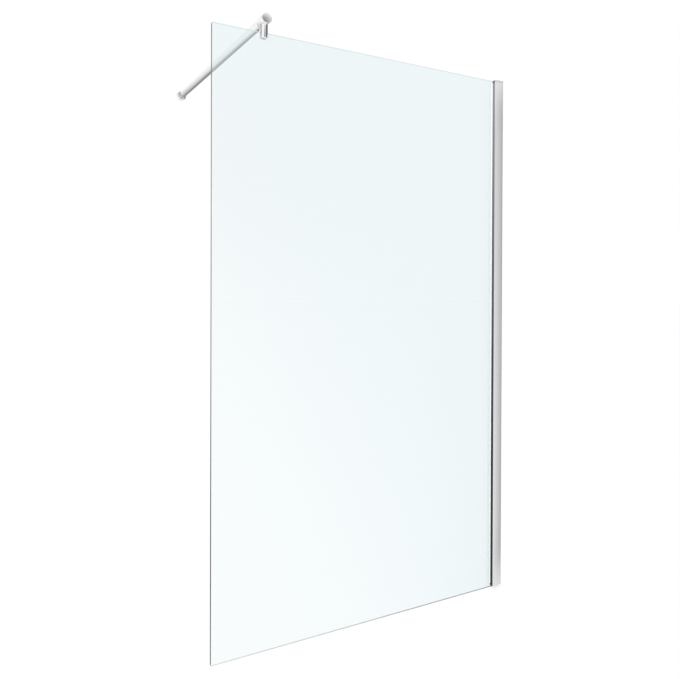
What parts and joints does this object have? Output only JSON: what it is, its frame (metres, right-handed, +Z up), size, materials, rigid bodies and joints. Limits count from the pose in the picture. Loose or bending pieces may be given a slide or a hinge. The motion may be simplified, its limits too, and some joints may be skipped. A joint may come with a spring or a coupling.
{
  "type": "shower screen",
  "caption": "Walk-in shower screen: fixed glass panel in an adjustable wall channel, with a top clamp and a support bar that ends in a swivelling wall bracket.",
  "frame": {"origin": "on the wall behind the channel, at the foot of the channel and the middle of the glass", "axes": "+X into the wall that carries the channel, +Y into the shower towards the second wall, +Z up"},
  "size_m": [1.15, 0.9675, 2.0085],
  "materials": {
    "aluminium": "satin polished",
    "chrome": "polished chrome",
    "steel": "plain stainless steel",
    "silver_plastic": "silver moulded plastic",
    "black_plastic": "black moulded plastic",
    "seal_rubber": "soft black seal",
    "clear_plastic": "milky soft plastic",
    "clear_glass": "clear toughened glass with polished edges"
  },
  "bodies": {
    "wall_side": {"wall_channel": "aluminium", "top_cap": "silver_plastic", "foot_plug": "black_plastic"},
    "glass_side": {"glass_channel": "aluminium", "glass_panel": "clear_glass", "front_seal": "seal_rubber", "rear_seal": "clear_plastic", "setting_blocks": "black_plastic", "fixing_screws": "steel", "fixing_washers": "steel", "screw_covers": "chrome"},
    "bar_clamp": {"clamp_body": "chrome", "clamp_end_cap": "chrome", "front_pad": "clear_plastic", "rear_pad": "clear_plastic", "pressure_plate": "steel", "glass_grub_screw": "steel", "bar_grub_screw": "steel"},
    "bar": {"support_bar": "chrome", "bar_knuckle": "chrome", "knuckle_grub_screw": "steel"},
    "wall_bracket": {"flange_base": "steel", "swivel_pin": "steel", "swivel_washers": "clear_plastic", "flange_cover": "chrome"}
  },
  "joints": [
    {"name": "width_adjust", "type": "slide", "parent": "wall_side", "child": "glass_side", "axis": [-1, 0, 0], "range_m": [0, 0.02]},
    {"name": "clamp_slide", "type": "slide", "parent": "glass_side", "child": "bar_clamp", "axis": [1, 0, 0], "range_m": [-0.15, 0.9]},
    {"name": "bar_slide", "type": "slide", "parent": "bar_clamp", "child": "bar", "axis": [0, 1, 0], "range_m": [0, 0.025]},
    {"name": "bracket_swivel", "type": "hinge", "parent": "bar", "child": "wall_bracket", "pos_m": [-0.9815, 0.918, 1.9825], "axis": [0, 0, 1], "range_deg": [-80, 80]}
  ]
}
